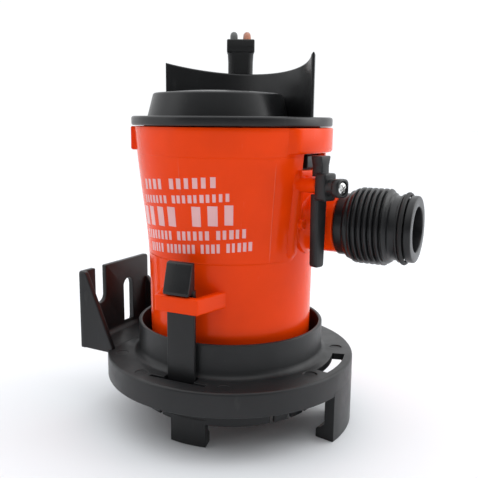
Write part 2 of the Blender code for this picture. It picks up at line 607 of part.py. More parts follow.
def make_lead(name, side, landing, look):
    curve = bpy.data.curves.new(name, "CURVE")
    curve.dimensions = "3D"
    curve.bevel_depth = LEAD_R * MM
    curve.bevel_resolution = 2
    curve.use_fill_caps = True
    points = smooth_run(lead_route(side, landing), 2.1 * 2 * LEAD_R)
    spline = curve.splines.new("POLY")
    spline.points.add(len(points) - 1)
    for slot, point in zip(spline.points, points):
        slot.co = (*(point * MM), 1.0)
    curve.materials.append(material(look))
    made = bpy.data.objects.new(name, curve)
    bpy.context.scene.collection.objects.link(made)
    return made


def make_coil(name, side, look):
    coil = ring(name, COIL_INNER, COIL_OUTER, 0.0, COIL_HEIGHT, 24, look)
    return reshape(coil, shift(*behind(side, COIL_BACK, 0.0)))


def make_leads():
    landing = COIL_SIDE - 18.6
    return [make_lead("lead_black", GROMMET_SIDE - LEAD_SPACING, -landing, "black_lead"),
            make_lead("lead_brown", GROMMET_SIDE + LEAD_SPACING, landing, "brown_lead"),
            make_coil("coil_black", -COIL_SIDE, "black_lead"), make_coil("coil_brown", COIL_SIDE, "brown_lead")]


# ---------------------------------------------------------------- assembly
def empty(name, parent=None):
    made = bpy.data.objects.new(name, None)
    made.empty_display_size = 0.02
    bpy.context.scene.collection.objects.link(made)
    made.parent = parent
    return made


def main():
    for item in list(bpy.data.objects):
        bpy.data.objects.remove(item, do_unlink=True)
    pump = empty("pump_axis")
    cartridge = empty("cartridge_axis", pump)
    rotor = empty("rotor_axis", cartridge)
    for part in make_rotor():
        part.parent = rotor
    for part in (*make_cap(), make_sleeve(), make_grommet(), *make_motor_fixed(), *make_leads()):
        part.parent = cartridge
    make_base()
    make_latch("latch_front", LATCH_AT)
    make_latch("latch_rear", LATCH_AT + 180.0)
    make_housing()
    make_port()
    make_lever()
    for item in bpy.data.objects:
        if item.parent is None and item is not pump:
            item.parent = pump
    pump.location = (AXIS_X * MM, AXIS_Y * MM, 0.0)
    pump.rotation_euler = (0.0, 0.0, math.radians(-PORT_AT))


main()
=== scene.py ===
"""The looks of a cartridge bilge pump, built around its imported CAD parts.

Shapes are built in millimetres about the pump's upright axis, with the discharge port at PORT_AT.
At the end they are turned so that the port lies along +X, and go into metres in the row frame.
Angles are in degrees, counter-clockwise seen from above.
"""
import math
import random

import bmesh
import bpy
from mathutils import Matrix, Vector


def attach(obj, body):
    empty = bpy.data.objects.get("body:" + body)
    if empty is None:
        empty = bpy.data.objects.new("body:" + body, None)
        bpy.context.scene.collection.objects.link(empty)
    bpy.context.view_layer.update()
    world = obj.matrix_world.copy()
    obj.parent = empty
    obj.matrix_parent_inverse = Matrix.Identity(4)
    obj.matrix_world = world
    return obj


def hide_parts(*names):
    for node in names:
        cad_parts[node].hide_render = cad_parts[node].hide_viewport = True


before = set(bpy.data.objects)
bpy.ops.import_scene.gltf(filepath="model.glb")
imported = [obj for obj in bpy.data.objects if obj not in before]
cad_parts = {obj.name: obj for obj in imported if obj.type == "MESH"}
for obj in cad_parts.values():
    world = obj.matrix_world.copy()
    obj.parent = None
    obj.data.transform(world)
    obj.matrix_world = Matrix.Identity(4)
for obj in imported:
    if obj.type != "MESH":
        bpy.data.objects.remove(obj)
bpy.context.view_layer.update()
scene = bpy.context.scene
MM = 0.001
AXIS_X = -8.241

# Directions about the pump's axis
PORT_AT = -19.4
LATCH_AT = -107.5
LEVER_AT = -39.0
BRACKET_AT = 158.8
BLADE_AT = 56.9
BEHIND = 98.5
LUGS_AT = (-35.5, 144.5)

# Heights and radii shared by several pieces
DISC_R = 44.0
DISC_TOP = 23.9
COLLAR_R = 32.85
PORT_Z = 72.0
BORE_R = 7.1
THREAD_START = 44.4
THREAD_END = 57.0
THREAD_PITCH = 1.77
LEVER_Z = 85.0
FLANGE_BOTTOM = 102.8
FLANGE_TOP = 105.8
WALL = 2.2
WALL_BOTTOM = 24.2
WALL_TOP = 102.5
RIM_R = 33.15
WALL_SIDE = ((28.2, WALL_BOTTOM), (28.45, 38.0), (28.75, 57.0), (29.7, 70.0), (31.4, 84.0), (32.5, 94.4),
             (RIM_R, WALL_TOP))

# From the pump's own millimetres to the row frame in metres
TO_ROW = (Matrix.Translation((AXIS_X * MM, 0.0, 0.0)) @ Matrix.Rotation(math.radians(-PORT_AT), 4, "Z")
          @ Matrix.Scale(MM, 4))

# Leads
LEAD_R = 1.4
GROMMET_SIDE = 3.0
GROMMET_BACK = 24.0
COIL_SIDE = 20.3
COIL_BACK = 80.0
COIL_LIFT = 0.35
COIL_R = 18.6


# ---------------------------------------------------------------- camera
def add_camera():
    """The photograph's viewpoint, given in the pump's own millimetres before the port is turned to +X."""
    place = Vector((33.63, -225.02, 104.52))
    pan, tilt, roll = 8.16 - PORT_AT, 79.69, 0.51
    data = bpy.data.cameras.new("camera")
    data.sensor_width = 36.0
    data.lens = 49.03
    data.shift_x = 0.0086
    data.clip_start, data.clip_end = 0.01, 20.0
    camera = bpy.data.objects.new("camera", data)
    scene.collection.objects.link(camera)
    turned = turn(pan) @ Matrix.Rotation(math.radians(tilt), 4, "X") @ turn(roll)
    camera.matrix_world = Matrix.Translation(TO_ROW @ place) @ turned
    scene.camera = camera


# ---------------------------------------------------------------- shaping helpers
def polar(radius, degrees, height=0.0):
    angle = math.radians(degrees)
    return Vector((radius * math.cos(angle), radius * math.sin(angle), height))


def behind(side, back, height):
    """A point given sideways and backwards of the pump's axis, along BEHIND."""
    return polar(back, BEHIND) + polar(side, BEHIND - 90.0) + Vector((0.0, 0.0, height))


def smooth(t):
    """0 below 0, 1 above 1, and an S-curve between."""
    t = min(max(t, 0.0), 1.0)
    return t * t * (3.0 - 2.0 * t)


def eased(points, radii=0.4, steps=4):
    """The outline again with its corners rounded. radii is one radius, or one for each corner."""
    count = len(points)
    radii = [radii] * count if isinstance(radii, (int, float)) else radii
    made = []
    for i, radius in enumerate(radii):
        corner = Vector(points[i])
        one, two = Vector(points[i - 1]) - corner, Vector(points[(i + 1) % count]) - corner
        turned = one.angle_signed(two)
        half = abs(turned) / 2
        if radius <= 0.0 or half > math.radians(88.0):
            made.append(corner)
            continue
        reach = min(radius / math.tan(half), 0.48 * one.length, 0.48 * two.length)
        one.normalize()
        two.normalize()
        centre = corner + (one + two).normalized() * reach / math.cos(half)
        first, last = corner + one * reach - centre, corner + two * reach - centre
        arc = math.atan2(first.x * last.y - first.y * last.x, first.dot(last))
        for k in range(steps + 1):
            c, s = math.cos(arc * k / steps), math.sin(arc * k / steps)
            made.append(centre + Vector((first.x * c - first.y * s, first.x * s + first.y * c)))
    return made


def inset(outline, distance):
    """A counter-clockwise outline moved inwards."""
    made = []
    for i, here in enumerate(outline):
        one = (here - outline[i - 1]).normalized()
        two = (outline[(i + 1) % len(outline)] - here).normalized()
        inwards = Vector((-one.y - two.y, one.x + two.x)).normalized()
        made.append(here + inwards * distance / max(inwards.dot(Vector((-one.y, one.x))), 0.4))
    return made


def build(rings, closed=False, caps=True):
    """An object whose skin joins successive rings of points."""
    bm = bmesh.new()
    rings = [[bm.verts.new(p) for p in ring] for ring in rings]
    pairs = list(zip(rings, rings[1:]))
    if closed:
        pairs.append((rings[-1], rings[0]))
    for here, there in pairs:
        for j in range(len(here)):
            k = (j + 1) % len(here)
            bm.faces.new((here[j], there[j], there[k], here[k]))
    if caps and not closed:
        bm.faces.new(rings[0])
        bm.faces.new(list(reversed(rings[-1])))
    return from_bmesh(bm)


def from_bmesh(bm):
    """The mesh as an object in the scene, welded, without loose edges and with its faces turned outwards."""
    bmesh.ops.remove_doubles(bm, verts=bm.verts, dist=1e-4)
    bmesh.ops.delete(bm, geom=[edge for edge in bm.edges if not edge.link_faces], context="EDGES")
    bmesh.ops.recalc_face_normals(bm, faces=bm.faces)
    mesh = bpy.data.meshes.new("shape")
    bm.to_mesh(mesh)
    bm.free()
    made = bpy.data.objects.new("shape", mesh)
    scene.collection.objects.link(made)
    return made


def revolved(outline, steps, start=0.0, sweep=360.0):
    """A solid swept by a closed (radius, height) outline about the upright axis."""
    whole = sweep >= 360.0
    count = steps if whole else steps + 1
    return build([[polar(p[0], start + sweep * i / steps, p[1]) for p in outline] for i in range(count)],
                 closed=whole, caps=not whole)


def slab(points, low, high, ease=0.4, radii=0.0, steps=3):
    """A solid on a flat counter-clockwise outline, with rounded rims and, by radii, rounded corners."""
    points = [Vector(p) for p in points]
    count = len(points)
    radii = [radii] * count if isinstance(radii, (int, float)) else radii
    convex = []
    for i, here in enumerate(points):
        one, two = here - points[i - 1], points[(i + 1) % count] - here
        convex.append(one.x * two.y - one.y * two.x > 0.0)
    rings = []
    rims = [(0.0, 0.0)]
    if ease > 0.0:
        quarter = [math.pi / 2 * k / steps for k in range(steps + 1)]
        rims = [(ease * (1 - math.sin(a)), ease * (1 - math.cos(a))) for a in quarter]
    levels = [(inwards, low + up) for inwards, up in rims]
    levels += [(inwards, high - up) for inwards, up in reversed(rims)]
    for inwards, z in levels:
        corners = [0.0 if r <= 0.0 else max(r - inwards, 0.03) if out else r + inwards
                   for r, out in zip(radii, convex)]
        rings.append([Vector((p.x, p.y, z)) for p in eased(inset(points, inwards), corners)])
    return build(rings)


def rod(radius, low, high, steps=48):
    """A plain round bar on the upright axis."""
    return revolved(((0, low), (radius, low), (radius, high), (0, high)), steps)


def arc_points(centre, radius, angles):
    """Points on an arc at the given angles."""
    x, y = centre
    return [(x + radius * math.cos(math.radians(a)), y + radius * math.sin(math.radians(a))) for a in angles]


def placed(obj, matrix):
    obj.data.transform(matrix)
    return obj


def turn(degrees):
    return Matrix.Rotation(math.radians(degrees), 4, "Z")


def shift(x, y, z):
    return Matrix.Translation((x, y, z))


# Local x goes sideways, y upwards and z outwards along +X.
FACING_X = Matrix(((0, 0, 1, 0), (1, 0, 0, 0), (0, 1, 0, 0), (0, 0, 0, 1)))
# Local x stays, y goes upwards and z along -Y.
UPRIGHT = Matrix(((1, 0, 0, 0), (0, 0, -1, 0), (0, 1, 0, 0), (0, 0, 0, 1)))


def outwards(degrees, height):
    return turn(degrees) @ shift(0, 0, height) @ FACING_X


def merged(*parts):
    """The parts as one object, without joining their surfaces. They don't overlap."""
    bm = bmesh.new()
    for part in parts:
        bm.from_mesh(part.data)
        bpy.data.objects.remove(part)
    mesh = bpy.data.meshes.new("merged")
    bm.to_mesh(mesh)
    bm.free()
    made = bpy.data.objects.new("merged", mesh)
    scene.collection.objects.link(made)
    return made


def combined(target, operation, tools):
    """The target after exact Booleans with the tools, which are used up."""
    for tool in tools:
        modifier = target.modifiers.new("combine", "BOOLEAN")
        modifier.operation = operation
        modifier.solver = "EXACT"
        modifier.object = tool
    graph = bpy.context.evaluated_depsgraph_get()
    mesh = bpy.data.meshes.new_from_object(target.evaluated_get(graph))
    target.modifiers.clear()
    target.data = mesh
    for tool in tools:
        bpy.data.objects.remove(tool)
    return target


def joined(target, *tools):
    return combined(target, "UNION", tools)


def cut(target, *tools):
    return combined(target, "DIFFERENCE", tools)


def finished(obj, name, body, look, nodes=(), sharp=38.0):
    """Puts a shape into the row frame as a named piece that rides on a body."""
    obj.data.transform(TO_ROW)
    obj.name = obj.data.name = name
    obj.data.shade_smooth()
    obj.data.set_sharp_from_angle(angle=math.radians(sharp))
    obj.data.materials.clear()
    obj.data.materials.append(LOOKS[look])
    for polygon in obj.data.polygons:
        polygon.material_index = 0
    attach(obj, body)
    if nodes:
        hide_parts(*nodes)
    return obj


def wall_radius(height):
    """The housing's outer radius at a height, on a smooth curve through WALL_SIDE."""
    side = WALL_SIDE
    height = min(max(height, side[0][1]), side[-1][1])
    for i, ((r0, z0), (r1, z1)) in enumerate(zip(side, side[1:])):
        if height <= z1:
            before = side[max(i - 1, 0)]
            after = side[min(i + 2, len(side) - 1)]
            t = (height - z0) / (z1 - z0)
            m0 = (r1 - before[0]) / (z1 - before[1]) * (z1 - z0)
            m1 = (after[0] - r0) / (after[1] - z0) * (z1 - z0)
            return ((2 * t ** 3 - 3 * t ** 2 + 1) * r0 + (t ** 3 - 2 * t ** 2 + t) * m0
                    + (3 * t ** 2 - 2 * t ** 3) * r1 + (t ** 3 - t ** 2) * m1)
    return side[-1][0]


# ---------------------------------------------------------------- materials
class Tree:
    """A material's node tree with short calls for the nodes used here."""

    def __init__(self, name):
        self.material = bpy.data.materials.new(name)
        self.material.use_nodes = True
        self.nodes = self.material.node_tree.nodes
        self.links = self.material.node_tree.links
        self.shader = self.nodes["Principled BSDF"]
        self.place = self.add("ShaderNodeTexCoord").outputs["Object"]

    def add(self, kind, settings=(), **inputs):
        node = self.nodes.new(kind)
        for key, value in dict(settings).items():
            setattr(node, key, value)
        for key, value in inputs.items():
            self.put(node.inputs[key.replace("_", " ")], value)
        return node

    def put(self, socket, value):
        if isinstance(value, bpy.types.NodeSocket):
            self.links.new(value, socket)
        else:
            socket.default_value = value

    def maths(self, operation, *values):
        node = self.nodes.new("ShaderNodeMath")
        node.operation = operation
        for socket, value in zip(node.inputs, values):
            self.put(socket, value)
        return node.outputs[0]

    def noise(self, scale, detail=3.0, rough=0.5, stretch=None):
        place = self.place
        if stretch:
            place = self.add("ShaderNodeMapping", Vector=place, Scale=stretch).outputs[0]
        node = self.add("ShaderNodeTexNoise", Vector=place, Scale=scale, Detail=detail, Roughness=rough)
        return node.outputs[0]

    def span(self, value, low, high, to_low=0.0, to_high=1.0):
        node = self.add("ShaderNodeMapRange", Value=value)
        for key, number in (("From Min", low), ("From Max", high), ("To Min", to_low), ("To Max", to_high)):
            node.inputs[key].default_value = number
        return node.outputs[0]

    def mix(self, share, one, two):
        node = self.add("ShaderNodeMix", {"data_type": "RGBA"})
        self.put(node.inputs[0], share)
        for socket, colour in ((node.inputs[6], one), (node.inputs[7], two)):
            self.put(socket, (*colour, 1.0) if isinstance(colour, tuple) else colour)
        return node.outputs[2]

    def bump(self, height, distance, strength=1.0, normal=None):
        node = self.add("ShaderNodeBump", Height=height, Distance=distance, Strength=strength)
        if normal:
            self.links.new(normal, node.inputs["Normal"])
        return node.outputs[0]

    def soft_edges(self, radius):
        """Normals rounded over the edges that are too small to model."""
        node = self.add("ShaderNodeBevel", {"samples": 6})
        node.inputs["Radius"].default_value = radius
        return node.outputs[0]

    def angle_and_height(self):
        """Degrees about the pump's axis, and height in millimetres."""
        parts = self.add("ShaderNodeSeparateXYZ", Vector=self.place)
        along = self.maths("SUBTRACT", parts.outputs[0], AXIS_X * MM)
        angle = self.maths("DEGREES", self.maths("ARCTAN2", parts.outputs[1], along))
        angle = self.maths("ADD", angle, PORT_AT)
        return angle, self.maths("MULTIPLY", parts.outputs[2], 1000.0)

    def line(self, value, at, half_width):
        """1 on a thin line where value is at, fading to 0 at half_width from it."""
        away = self.maths("ABSOLUTE", self.maths("SUBTRACT", value, at))
        return self.maths("SUBTRACT", 1.0, self.maths("MINIMUM", self.maths("DIVIDE", away, half_width), 1.0))

    def between(self, value, low, high, fade):
        """1 between low and high, fading out over fade."""
        up = self.span(value, low, low + fade)
        down = self.span(value, high - fade, high, 1.0, 0.0)
        return self.maths("MULTIPLY", up, down)


def plastic(name, colour, dark, light, roughness, grain, edge=0.00035, specks=0.0, gloss=0.35):
    """A moulded plastic: colour drift, uneven gloss, fine mould grain, a few scuffs and soft small edges."""
    tree = Tree(name)
    drift = tree.span(tree.noise(55.0, 4.0), 0.35, 0.65)
    tone = tree.mix(drift, tuple(c * dark for c in colour), tuple(c * light for c in colour))
    scuff = tree.span(tree.noise(260.0, 6.0, 0.65, (1.0, 1.0, 0.25)), 0.62, 0.72)
    tone = tree.mix(tree.maths("MULTIPLY", scuff, specks), tone, (0.32, 0.31, 0.3))
    rough = tree.span(tree.noise(140.0, 5.0, 0.6), 0.3, 0.7, roughness - 0.06, roughness + 0.07)
    rough = tree.maths("ADD", rough, tree.maths("MULTIPLY", scuff, 0.12))
    tree.put(tree.shader.inputs["Base Color"], tone)
    tree.put(tree.shader.inputs["Roughness"], rough)
    fine = tree.bump(tree.noise(5200.0, 2.0), 0.00002, grain, tree.soft_edges(edge))
    slow = tree.bump(tree.noise(90.0, 2.0), 0.0003, 0.12, fine)
    tree.put(tree.shader.inputs["Normal"], slow)
    tree.shader.inputs["Specular IOR Level"].default_value = gloss
    return tree


def housing_look():
    """Glossy orange plastic with the mould's parting lines and the faint outline of the label's field."""
    tree = plastic("orange_plastic", (0.90, 0.058, 0.002), 0.95, 1.04, 0.2, 0.25, 0.0005, 0.005, 0.13)
    angle, height = tree.angle_and_height()
    right = tree.maths("MULTIPLY", tree.line(angle, -56.6, 0.55), tree.between(height, 60.0, 92.0, 3.0))
    seam = tree.maths("MULTIPLY", tree.line(angle, -112.0, 0.4), tree.between(height, 76.0, 94.0, 6.0))
    top = tree.maths("MULTIPLY", tree.line(height, 92.8, 0.25), tree.between(angle, -63.0, -57.2, 3.0))
    parting = tree.line(height, 93.4, 0.2)
    low = tree.maths("MULTIPLY", tree.line(height, 60.0, 0.25), tree.between(angle, -160.0, -40.0, 12.0))
    marks = tree.maths("ADD", tree.maths("ADD", right, seam), tree.maths("ADD", top, low))
    before = tree.shader.inputs["Normal"].links[0].from_socket
    raised = tree.bump(marks, 0.00012, 1.0, before)
    sunk = tree.bump(tree.maths("MULTIPLY", parting, -1.0), 0.00008, 0.7, raised)
    tree.put(tree.shader.inputs["Normal"], sunk)
    tone = tree.shader.inputs["Base Color"].links[0].from_socket
    pale = tree.maths("MULTIPLY", tree.maths("ADD", right, tree.maths("MULTIPLY", seam, 0.6)), 0.13)
    tree.put(tree.shader.inputs["Base Color"], tree.mix(pale, tone, (0.9, 0.55, 0.4)))
    tree.shader.inputs["Subsurface Weight"].default_value = 0.06
    tree.shader.inputs["Subsurface Radius"].default_value = (1.0, 0.25, 0.1)
    tree.shader.inputs["Subsurface Scale"].default_value = 0.002
    return tree.material


def metal(name, colour, roughness, stretch, scale):
    """A metal with brushing or grain drawn out along an axis."""
    tree = Tree(name)
    grain = tree.noise(scale, 4.0, 0.6, stretch)
    tree.put(tree.shader.inputs["Base Color"], tree.mix(grain, tuple(c * 0.8 for c in colour), colour))
    tree.put(tree.shader.inputs["Roughness"], tree.span(grain, 0.3, 0.7, roughness - 0.08, roughness + 0.1))
    tree.put(tree.shader.inputs["Normal"], tree.bump(grain, 0.00002, 0.4, tree.soft_edges(0.0002)))
    tree.shader.inputs["Metallic"].default_value = 1.0
    return tree.material


def windings_look():
    """Enamelled copper wire, as fine ridges round the axis, with painted shade in the grooves between the
    turns.
    """
    tree = Tree("copper_windings")
    _, height = tree.angle_and_height()
    ridges_with_groove_shade = tree.maths("ABSOLUTE", tree.maths("SINE", tree.maths("MULTIPLY", height, 6.3)))
    # The colour is darker in the grooves between the turns and copper on the crests: painted shade.
    tree.put(tree.shader.inputs["Base Color"], tree.mix(ridges_with_groove_shade, (0.2, 0.06, 0.025), (0.62, 0.25, 0.11)))
    tree.put(tree.shader.inputs["Roughness"], tree.span(ridges_with_groove_shade, 0.0, 1.0, 0.45, 0.28))
    tree.put(tree.shader.inputs["Normal"], tree.bump(ridges_with_groove_shade, 0.00025, 0.8))
    tree.shader.inputs["Metallic"].default_value = 0.85
    return tree.material


def make_looks():
    """Every material by its short name."""
    # Name, colour, its darkest and lightest drift, roughness, grain, edge rounding in metres, and scuffs
    plastics = {
        "black": ("black_plastic", (0.010, 0.0103, 0.011), 0.9, 1.12, 0.33, 0.55, 0.00035, 0.04),
        "disc": ("black_base_plastic", (0.014, 0.0144, 0.0152), 0.88, 1.15, 0.40, 0.9, 0.0004, 0.05),
        "rubber": ("black_rubber", (0.008, 0.008, 0.0084), 0.85, 1.2, 0.55, 0.8, 0.0002, 0.03),
        "soft_rubber": ("black_grommet_rubber", (0.009, 0.0092, 0.0094), 0.85, 1.2, 0.45, 0.6, 0.0004, 0.03),
        "carbon": ("carbon", (0.028, 0.028, 0.029), 0.7, 1.4, 0.62, 1.0, 0.0001, 0.1),
        "ferrite": ("ferrite", (0.075, 0.07, 0.066), 0.8, 1.25, 0.6, 1.0, 0.0002, 0.1),
        "white": ("natural_plastic", (0.72, 0.71, 0.66), 0.95, 1.04, 0.38, 0.5, 0.0002, 0.02),
        "print": ("label_print", (0.84, 0.46, 0.46), 0.93, 1.05, 0.34, 0.4, 0.00002, 0.0),
        "black_lead": ("black_insulation", (0.028, 0.031, 0.03), 0.85, 1.12, 0.42, 0.4, 0.0001, 0.02),
        "brown_lead": ("brown_insulation", (0.42, 0.13, 0.055), 0.85, 1.12, 0.42, 0.4, 0.0001, 0.02),
        "tie": ("cable_tie_nylon", (0.05, 0.05, 0.052), 0.9, 1.1, 0.35, 0.5, 0.0002, 0.02),
    }
    # Name, colour, roughness, how the grain is drawn out, and its scale
    metals = {
        "steel": ("plated_steel", (0.72, 0.72, 0.71), 0.22, (1.0, 1.0, 0.1), 900.0),
        "can": ("drawn_steel", (0.56, 0.57, 0.58), 0.3, (1.0, 1.0, 0.05), 900.0),
        "laminations": ("laminated_steel", (0.36, 0.36, 0.37), 0.42, (0.05, 0.05, 2.5), 1500.0),
        "brass": ("brass", (0.72, 0.5, 0.2), 0.28, (1.0, 1.0, 0.2), 900.0),
        "copper": ("copper", (0.72, 0.33, 0.17), 0.3, (1.0, 1.0, 0.2), 900.0),
    }
    looks = {key: plastic(*given).material for key, given in plastics.items()}
    looks.update((key, metal(*given)) for key, given in metals.items())
    looks["orange"] = housing_look()
    looks["windings"] = windings_look()
    return looks


# ---------------------------------------------------------------- leads
def smooth_run(points, spacing):
    """Points read at an even spacing from a Catmull-Rom curve through the given ones."""
    ends = [points[0] * 2 - points[1], *points, points[-1] * 2 - points[-2]]
    dense = []
    for a, b, c, d in zip(ends, ends[1:], ends[2:], ends[3:]):
        for i in range(24):
            t = i / 24.0
            dense.append(0.5 * (2 * b + (c - a) * t + (2 * a - 5 * b + 4 * c - d) * t ** 2
                                + (3 * b - a - 3 * c + d) * t ** 3))
    dense.append(points[-1])
    lengths = [0.0]
    for a, b in zip(dense, dense[1:]):
        lengths.append(lengths[-1] + (b - a).length)
    count = round(lengths[-1] / spacing)
    read, j = [], 0
    for i in range(count + 1):
        want = lengths[-1] * i / count
        while j < len(lengths) - 2 and lengths[j + 1] < want:
            j += 1
        part = (want - lengths[j]) / (lengths[j + 1] - lengths[j])
        read.append(dense[j].lerp(dense[j + 1], min(max(part, 0.0), 1.0)))
    return read


def lead_route(side, landing):
    """Side, back and height of a lead: out of the grommet, over, down behind the base and along the floor."""
    return [behind(*point) for point in (
        (side, 25.35, 132.45), (side, 28.5, 135.4), (side, 33.5, 136.7), (side, 39.0, 135.5),
        (side, 43.5, 132.1), (side, 46.0, 127.1), (side, 46.5, 121.0), (side, 46.5, 104.0),
        (side, 46.5, 84.0), (side, 46.5, 62.0), (side, 46.6, 42.0), (side, 46.9, 24.0), (side, 48.4, 12.6),
        (side * 0.9 + landing * 0.1, 52.8, 5.2), (side * 0.6 + landing * 0.4, 58.8, 2.0),
        (side * 0.3 + landing * 0.7, 64.0, 1.5), (landing, 69.2, LEAD_R + 0.05),
        (landing, 74.6, LEAD_R + 0.2), (landing, COIL_BACK, LEAD_R + COIL_LIFT))]


def coil_points(side):
    """Seven turns in three layers. Each step is (turns, radius, height), and the wire eases between them."""
    low, middle, high = (LEAD_R + COIL_LIFT + 2 * LEAD_R * layer for layer in range(3))
    outer, inner, core = (COIL_R - 2 * LEAD_R * layer for layer in range(3))
    steps = ((0.0, outer, low), (0.83, outer, low), (0.94, outer, middle), (1.83, outer, middle),
             (1.94, outer, high), (2.78, outer, high), (2.89, inner, high), (3.67, inner, high),
             (3.78, inner, middle), (4.56, inner, middle), (4.67, inner, low), (5.44, inner, low),
             (5.56, core, low), (7.0, core, low))
    facing = 1.0 if side < 0.0 else -1.0
    made = []
    per_turn = 40
    for i in range(1, round(steps[-1][0] * per_turn) + 1):
        turns = i / per_turn
        (t0, r0, z0), (t1, r1, z1) = next((a, b) for a, b in zip(steps, steps[1:]) if turns <= b[0])
        share = smooth((turns - t0) / (t1 - t0))
        radius = r0 + (r1 - r0) * share
        angle = math.tau * turns
        made.append(behind(side + facing * radius * math.cos(angle), COIL_BACK + radius * math.sin(angle),
                           z0 + (z1 - z0) * share))
    return made


def make_lead(name, side, landing, coil_side, look):
    """A free lead on one smooth curve, from the grommet down to its coil on the floor, and the coil's tie."""
    spacing = 1.8
    points = smooth_run(lead_route(side, landing), spacing) + coil_points(coil_side)
    curve = bpy.data.curves.new(name, "CURVE")
    curve.dimensions = "3D"
    curve.bevel_depth = LEAD_R * MM
    curve.bevel_resolution = 4
    curve.use_fill_caps = True
    spline = curve.splines.new("POLY")
    spline.points.add(len(points) - 1)
    for spot, point in zip(spline.points, points):
        spot.co = (*(TO_ROW @ point), 1.0)
    curve.materials.append(LOOKS[look])
    lead = bpy.data.objects.new(name, curve)
    scene.collection.objects.link(lead)
    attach(lead, "cartridge")
    colour = name.split("_")[1]
    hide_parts(f"lead_{colour}", f"coil_{colour}")
    tie = make_tie(f"coil_tie_{colour}", coil_side)


def make_tie(name, coil_side):
    """A nylon tie round a coil's turns, with its small square head on top."""
    low, high, near, far = 0.02, 9.25, 11.2, 20.4
    outer = eased(((near, low), (far, low), (far, high), (near, high)), 1.6, 5)
    inner = inset(outer, 0.3)
    half = 1.3
    rings = [[Vector((p.x, y, p.y)) for p in outline] for outline, y in
             ((outer, -half), (outer, half), (inner, half), (inner, -half))]
    band = build(rings, closed=True)
    head = ((14.2, -1.9), (17.8, -1.9), (17.8, 1.9), (14.2, 1.9))
    head = slab(head, high - 0.2, high + 2.2, 0.3, 0.4)
    tail = ((17.6, -1.1), (22.6, -0.8), (22.6, 0.8), (17.6, 1.1))
    tail = slab(tail, high + 0.7, high + 1.2, 0.15, 0.3)
    tie = joined(band, head, tail)
    centre = behind(coil_side, COIL_BACK, 0.0)
    away = BEHIND + (28.0 if coil_side > 0.0 else 152.0) - 90.0
    placed(tie, Matrix.Translation(centre) @ turn(away))
    return finished(tie, name, "cartridge", "tie")


# ---------------------------------------------------------------- strainer base
def make_base():
    """The black strainer: a disc with a skirt, a collar, four feet and the bracket, slit and slotted."""
    top, under = DISC_TOP, DISC_TOP - 2.2
    inside = COLLAR_R - 1.25
    eye, skirt, skirt_end = 14.0, DISC_R - 1.8, 15.8
    collar_top, collar_end = 35.1, 7.7
    outline = ((eye, top), (inside, top), (inside, collar_top), (COLLAR_R, collar_top), (COLLAR_R, top),
               (DISC_R, top), (DISC_R, skirt_end), (skirt, skirt_end), (skirt, under), (COLLAR_R, under),
               (COLLAR_R, collar_end), (inside, collar_end), (inside, under), (eye, under))
    radii = (0.6, 0.3, 0.45, 0.45, 2.3, 0.9, 0.4, 0.4, 0.5, 0.5, 0.35, 0.35, 0.5, 0.6)
    base = revolved(eased(outline, radii, 5), 168)
    wide = ((44.04, 0.0), (44.04, 17.0), (40.5, 17.0), (40.5, 5.4), (38.6, 3.6), (37.3, 3.4), (37.3, 0.0))
    wide = eased(wide, (0.35, 0.0, 0.0, 1.2, 0.8, 0.8, 0.35), 4)
    narrow = ((32.95, 0.0), (32.95, 9.5), (29.8, 9.5), (29.8, 5.0), (27.8, 3.2), (27.8, 0.0))
    narrow = eased(narrow, (0.35, 0.0, 0.0, 0.8, 0.7, 0.35), 4)
    feet = [revolved(wide, 24, start, 34.0) for start in (-30.5, 122.5)]
    feet += [revolved(narrow, 16, start, 22.3) for start in (-117.6, 62.4)]
    joined(base, *feet, *bracket_parts())
    slits, slit_pitch = [], 12.3
    for start in (-56.5, 123.5):
        for j in range(10):
            slit = slab(((-0.8, 5.0), (0.8, 5.0), (0.8, 12.5), (-0.8, 12.5)), 29.0, 35.0, 0.0)
            slits.append(placed(slit, turn(start + slit_pitch * j) @ FACING_X))
    cutters = [merged(*slits)]
    window = eased(((37.1, 20.0), (41.3, 20.0), (41.3, 26.0), (37.1, 26.0)), 0.2, 2)
    cutters.append(revolved(window, 20, -31.5, 27.0))
    for at in (LATCH_AT, LATCH_AT + 180.0):
        slot = slab(((33.6, -5.4), (37.9, -5.4), (37.9, 5.4), (33.6, 5.4)), 20.0, 26.0, 0.0)
        relief = slab(((36.9, -10.0), (38.4, -10.0), (38.4, 10.0), (36.9, 10.0)), 20.5, 25.5, 0.0)
        cutters += [placed(slot, turn(at)), placed(relief, turn(at))]
    # The mould's ejector-pin marks: radius, angle and depth
    pins = ((37.9, -38.4, 0.3), (38.3, 5.8, 0.3), (39.6, -84.0, 0.12), (39.4, -128.0, 0.12),
            (38.8, 40.0, 0.12), (38.8, 100.0, 0.12), (39.0, -158.0, 0.12))
    marks = []
    for radius, angle, deep in pins:
        mark = revolved(((0, -deep), (2.2, -deep), (2.3, 0.5), (0, 0.5)), 32)
        marks.append(placed(mark, Matrix.Translation(polar(radius, angle, DISC_TOP))))
    cutters.append(merged(*marks))
    cut(base, *cutters)
    finished(base, "strainer_body", "body", "disc", ["strainer_base"])


